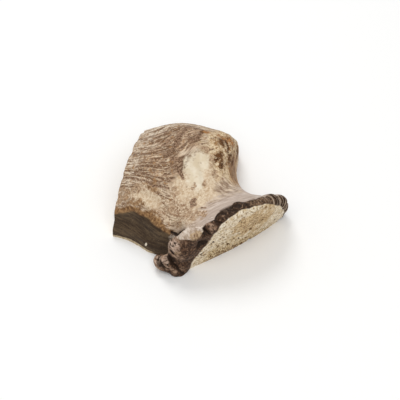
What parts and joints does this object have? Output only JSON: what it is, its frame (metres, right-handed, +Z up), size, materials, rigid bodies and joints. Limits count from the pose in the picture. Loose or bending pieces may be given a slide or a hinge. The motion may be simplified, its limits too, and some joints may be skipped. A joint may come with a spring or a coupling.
{
  "type": "split deer antler",
  "caption": "Base of a shed deer antler, sawn short and split lengthwise, with a knobbed burr, a pitted pedicle seal and a grooved beam, lying on its flat split face.",
  "frame": {"origin": "point of the beam's axis under the middle of the beam, on the split face", "axes": "+Z up from the split face, +X across the burr towards the shoulder side, +Y from the burr up the beam"},
  "size_m": [0.0761, 0.0839, 0.0331],
  "materials": {
    "antler_bone": "matte weathered bark worn to ivory, with a dark burr and raw spongy bone on the seal, the split and the saw cut"
  },
  "bodies": {
    "root": {"antler": "antler_bone"}
  },
  "joints": []
}
